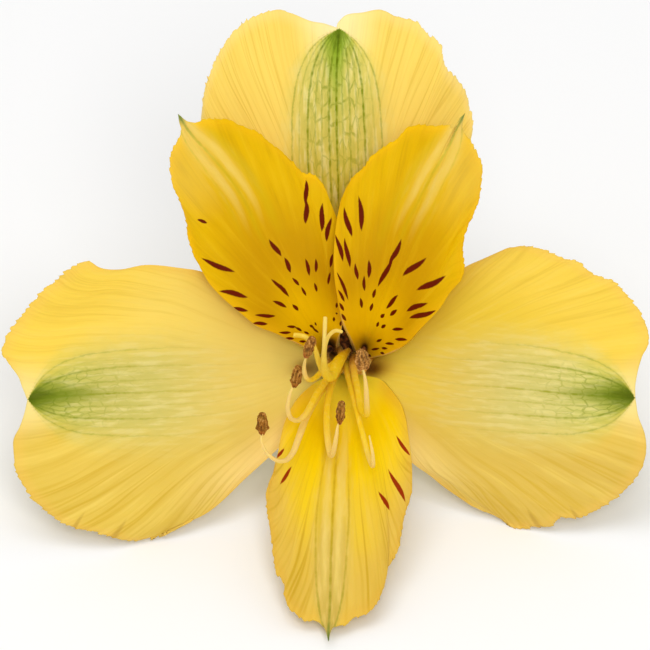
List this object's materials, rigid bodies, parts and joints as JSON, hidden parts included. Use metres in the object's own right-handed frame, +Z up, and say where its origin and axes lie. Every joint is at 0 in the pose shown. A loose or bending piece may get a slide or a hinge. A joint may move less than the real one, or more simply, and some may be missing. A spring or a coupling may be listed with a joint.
{
  "type": "alstroemeria bloom",
  "caption": "Open yellow alstroemeria bloom with notched outer tepals, streaked inner tepals, stamens, ribbed ovary and cut pedicel, lying leant back on a surface.",
  "frame": {"origin": "on the surface that the bloom rests on, under the middle of its box", "axes": "+Z up; -Y out of the bloom's face, which looks up at 36 degrees; +X to the right as one looks into the bloom; the pedicel lies along +Y"},
  "size_m": [0.0756, 0.0806, 0.0538],
  "materials": {
    "outer_tepal": "satin petal, pale warm yellow with a green point",
    "inner_tepal": "satin petal, golden yellow with maroon streaks",
    "lower_tepal": "satin petal, bright yellow with a pale green midrib",
    "filament": "smooth, moist, pale yellow",
    "anther": "dusty brown pollen",
    "style": "smooth, moist yellow",
    "ovary": "satin green, ribbed",
    "pedicel": "satin green"
  },
  "bodies": {
    "root": {"outer_tepal_top": "outer_tepal", "outer_tepal_left": "outer_tepal", "outer_tepal_right": "outer_tepal", "inner_tepal_upper_left": "inner_tepal", "inner_tepal_upper_right": "inner_tepal", "inner_tepal_lower": "lower_tepal", "filament_1": "filament", "filament_2": "filament", "filament_3": "filament", "filament_4": "filament", "filament_5": "filament", "filament_6": "filament", "anther_1": "anther", "anther_2": "anther", "anther_3": "anther", "anther_4": "anther", "anther_6": "anther", "style": "style", "ovary": "ovary", "pedicel": "pedicel"}
  },
  "joints": []
}
